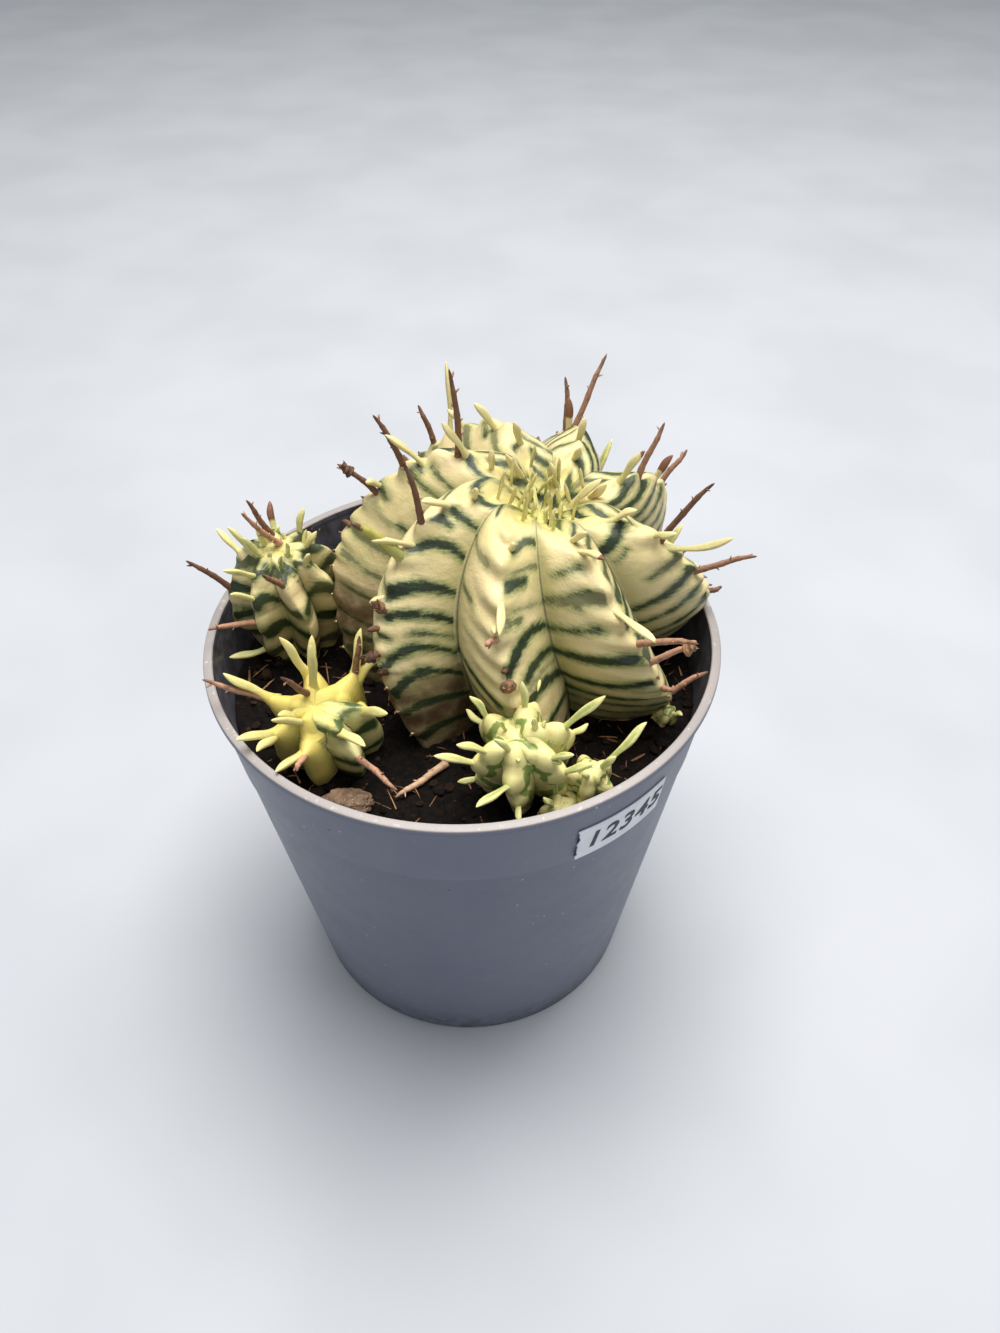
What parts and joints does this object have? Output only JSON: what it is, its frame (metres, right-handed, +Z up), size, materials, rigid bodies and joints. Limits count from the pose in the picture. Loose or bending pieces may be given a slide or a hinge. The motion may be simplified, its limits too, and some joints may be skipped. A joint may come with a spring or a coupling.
{
  "type": "potted variegated melon spurge",
  "caption": "Ribbed, striped succulent spurge with fleshy leaves, dry flower stalks and offset heads, growing in soil in a tapered round plastic nursery pot.",
  "frame": {"origin": "centre of the pot's underside, on the pot's axis, where the pot's centre disc stands", "axes": "+Z up along the pot's axis; the picture looks from the -Y side, with +X to its right"},
  "size_m": [0.0896, 0.085, 0.1173],
  "materials": {
    "pot_plastic": "satin moulded polypropylene",
    "label_paper": "matt printed sticker",
    "soil": "loose peat with fibres",
    "clod": "dry earthy lump",
    "dry_stalk": "dry, slightly rough",
    "striped_skin": "waxy skin, cream with dark green bands",
    "yellow_skin": "waxy skin, yellow with green patches",
    "young_skin": "waxy skin, pale green and cream"
  },
  "bodies": {
    "root": {"pot": "pot_plastic", "label": "label_paper", "soil": "soil", "clod": "clod", "fallen_stalk": "dry_stalk", "main_head": "striped_skin", "left_offset": "striped_skin", "yellow_offset": "yellow_skin", "front_offset": "young_skin", "front_right_offset": "young_skin", "lower_front_offset": "young_skin", "right_bud": "young_skin", "back_offset": "young_skin", "right_offset": "young_skin"}
  },
  "joints": []
}
